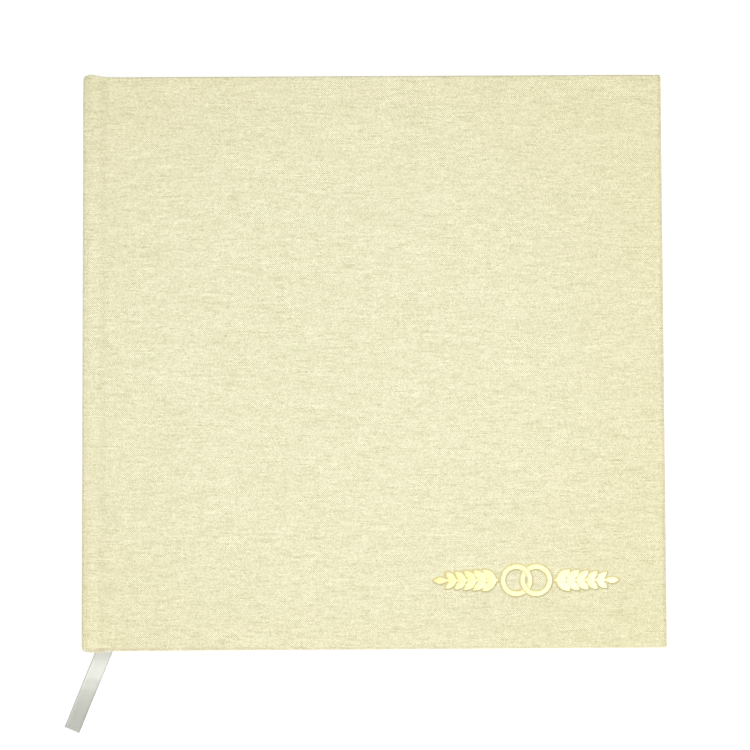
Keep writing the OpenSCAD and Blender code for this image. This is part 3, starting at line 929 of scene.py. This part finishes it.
# the front endpaper's two halves move with the cover and with the first leaves
z_paste = T - COVER_T - PAPER_T / 2
path = [(x, z_paste) for x in XS] + [(x, z_paste + d) for x, d in INTO_JOINT] + [(-112.2, z_paste + 1.45)]
v, f = paper_band(path, PAPER_T / 2, np.full(len(path), -110.6), np.full(len(path), 110.6), YS, lambda x, y: sink(x, y, 1))
outward(put("front_endpaper_pasted", v, f, "endpaper", "front_cover", ["front_pastedown"], angle=50))
z_fly = z_paste - 2 * r_fold
path = [(FORE_X - 0.1, z_fly), (60, z_fly), (0, z_fly), (-60, z_fly), (-111.0, z_fly)]
v, f = paper_band(path, PAPER_T / 2, np.full(5, -110.95), np.full(5, 110.95), [0, 0.34, 0.67, 1])
outward(put("front_endpaper_flyleaf", v, f, "endpaper", "leaves_01", ["front_flyleaf"], angle=50))

# ------------------------------------------------------------------ boards stay as designed

for node in ("front_board", "back_board", "spine_board"):
    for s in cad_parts[node].material_slots:
        s.material = M["board"]

# ------------------------------------------------------------------ what is sewn and glued on the leaves' backs


def span(n, below=0.3):
    """The height that goes with a section's back. The middle opening shows two of them, so what is glued on stays below the page."""
    z = section_z(n)
    low, high = max(z + 0.01, 3.7), min(z + SECTION_T - 0.01, 15.9)
    return (low + below, high) if n == 5 else (low, high - below) if n == 6 else (low, high)


def slab(x0, x1, y0, y1, z0, z1, wave=0.0, steps=24):
    """A glued strip whose outer side is not quite flat, with softened edges."""
    e = 0.05
    loops = []
    for i, y in enumerate(np.linspace(y0, y1, steps)):
        w = wave * math.sin(i * 1.9 + z0 * 3.1)
        loops.append([(x0 + e + w, y, z0), (x0 + w, y, z0 + e), (x0 + w, y, z1 - e), (x0 + e + w, y, z1), (x1, y, z1), (x1, y, (z0 + 2 * z1) / 3), (x1, y, (2 * z0 + z1) / 3), (x1, y, z0)])
    return tube(loops)


def round_cord(points, radius, sides=10):
    p = np.asarray(points, float)
    t = np.gradient(p, axis=0)
    t /= np.linalg.norm(t, axis=1)[:, None]
    loops = []
    side = np.array([1.0, 0.0, 0.0])
    for c, d, r in zip(p, t, np.broadcast_to(radius, len(p))):
        u = np.cross(d, side)
        u /= np.linalg.norm(u)
        w = np.cross(d, u)
        a = np.arange(sides) * 2 * math.pi / sides
        loops.append(c + r * (np.outer(np.cos(a), u) + np.outer(np.sin(a), w)))
    return tube(loops)


for n in range(1, 11):
    z0, z1 = span(n)
    body = body_of_section(n)
    v, f = slab(BACK_X - 0.25, BACK_X + 0.12, -101, 101, z0, z1, 0.015, 60)
    outward(put(f"mull_on_section_{n:02d}", v, f, "mull", body, ["spine_mull"]))
    v, f = slab(BACK_X - 0.5, BACK_X - 0.25, -109.5, 109.5, *span(n, 0.35), 0.012, 60)
    outward(put(f"kraft_on_section_{n:02d}", v, f, "kraft", body, ["spine_lining"]))
    for end, sign in (("head", 1), ("tail", -1)):
        tape = slab(BACK_X - 0.245, BACK_X + 0.1, sign * 101.5, sign * 111.6, z0, z1, 0.01, 14)
        zs = np.linspace(z0, z1, 37)
        turns = np.abs(np.sin(zs * math.pi / 0.4)) ** 0.6
        bead = round_cord([(BACK_X - 0.25 + 0.72, sign * 111.76, z) for z in zs], 0.72 * (0.9 + 0.1 * turns), 24)
        v, f = join([tape, bead])
        outward(put(f"{end}_band_on_section_{n:02d}", v, f, "band", body, [f"{end}_band"], angle=60))
    if n > 1:
        z = 9.8 if n == 6 else section_z(n - 1) - 0.02
        stitches = []
        for y in (-90, -54, -18, 18, 54, 90):
            k = np.linspace(-1, 1, 25)
            sag = 0.26 * np.abs(k) ** 6
            stitches.append(round_cord([(BACK_X + 0.16 + s, y + 4 * a, z - 0.02) for a, s in zip(k, sag)], 0.115, 10))
        v, f = join(stitches)
        # the section above slips further as the book opens, and takes the threads along
        rider = body_of_section(n - 1) if n > 6 else body
        outward(put(f"stitches_over_section_{n:02d}", v, f, "thread", rider, ["sewing_thread"], angle=60))

# ------------------------------------------------------------------ floor and light


def floor_material():
    g = Graph("studio_floor")
    x, y, z = g.xyz(g.object)
    speck = g.noise(g.vec(g.mul(x, 40.0), g.mul(y, 40.0)), 1.0, 3.0, 0.6, "2D")
    g.put(g.bsdf.inputs["Base Color"], g.mix(speck, (0.33, 0.33, 0.33), (0.35, 0.35, 0.35)))
    g.put(g.bsdf.inputs["Emission Color"], (1.0, 1.0, 1.0, 1.0))
    g.put(g.bsdf.inputs["Emission Strength"], 0.80)
    return g.set(Roughness=0.9, Specular_IOR_Level=0.1)


M["floor"] = floor_material()
floor = put("floor", [(-4000, -4000, 0), (4000, -4000, 0), (4000, 4000, 0), (-4000, 4000, 0)], [(0, 1, 2, 3)], "floor", smooth=False)


def area_light(name, location, target, size, energy, colour=(1, 1, 1)):
    data = bpy.data.lights.new(name, "AREA")
    data.shape, data.size, data.size_y = "RECTANGLE", size[0], size[1]
    data.energy, data.color = energy, colour
    o = bpy.data.objects.new(name, data)
    o.location = location
    o.rotation_euler = (Vector(target) - Vector(location)).to_track_quat("-Z", "Y").to_euler()
    scene.collection.objects.link(o)
    return o


area_light("key", (0.60, -2.15, 2.0), (0, 0, 0), (4.0, 2.6), 62.0, (1.0, 0.998, 0.99))
area_light("card", (0.50, -0.15, 1.45), (0.1, -0.05, 0), (0.8, 1.0), 6.5, (1.0, 0.998, 0.985))

world = bpy.data.worlds.new("studio")
scene.world = world
world.use_nodes = True
world.node_tree.nodes["Background"].inputs["Color"].default_value = (0.995, 1.0, 0.995, 1)
world.node_tree.nodes["Background"].inputs["Strength"].default_value = 0.44

scene.view_settings.view_transform = "Standard"
scene.view_settings.look = "None"
scene.view_settings.exposure = 0
scene.view_settings.gamma = 1
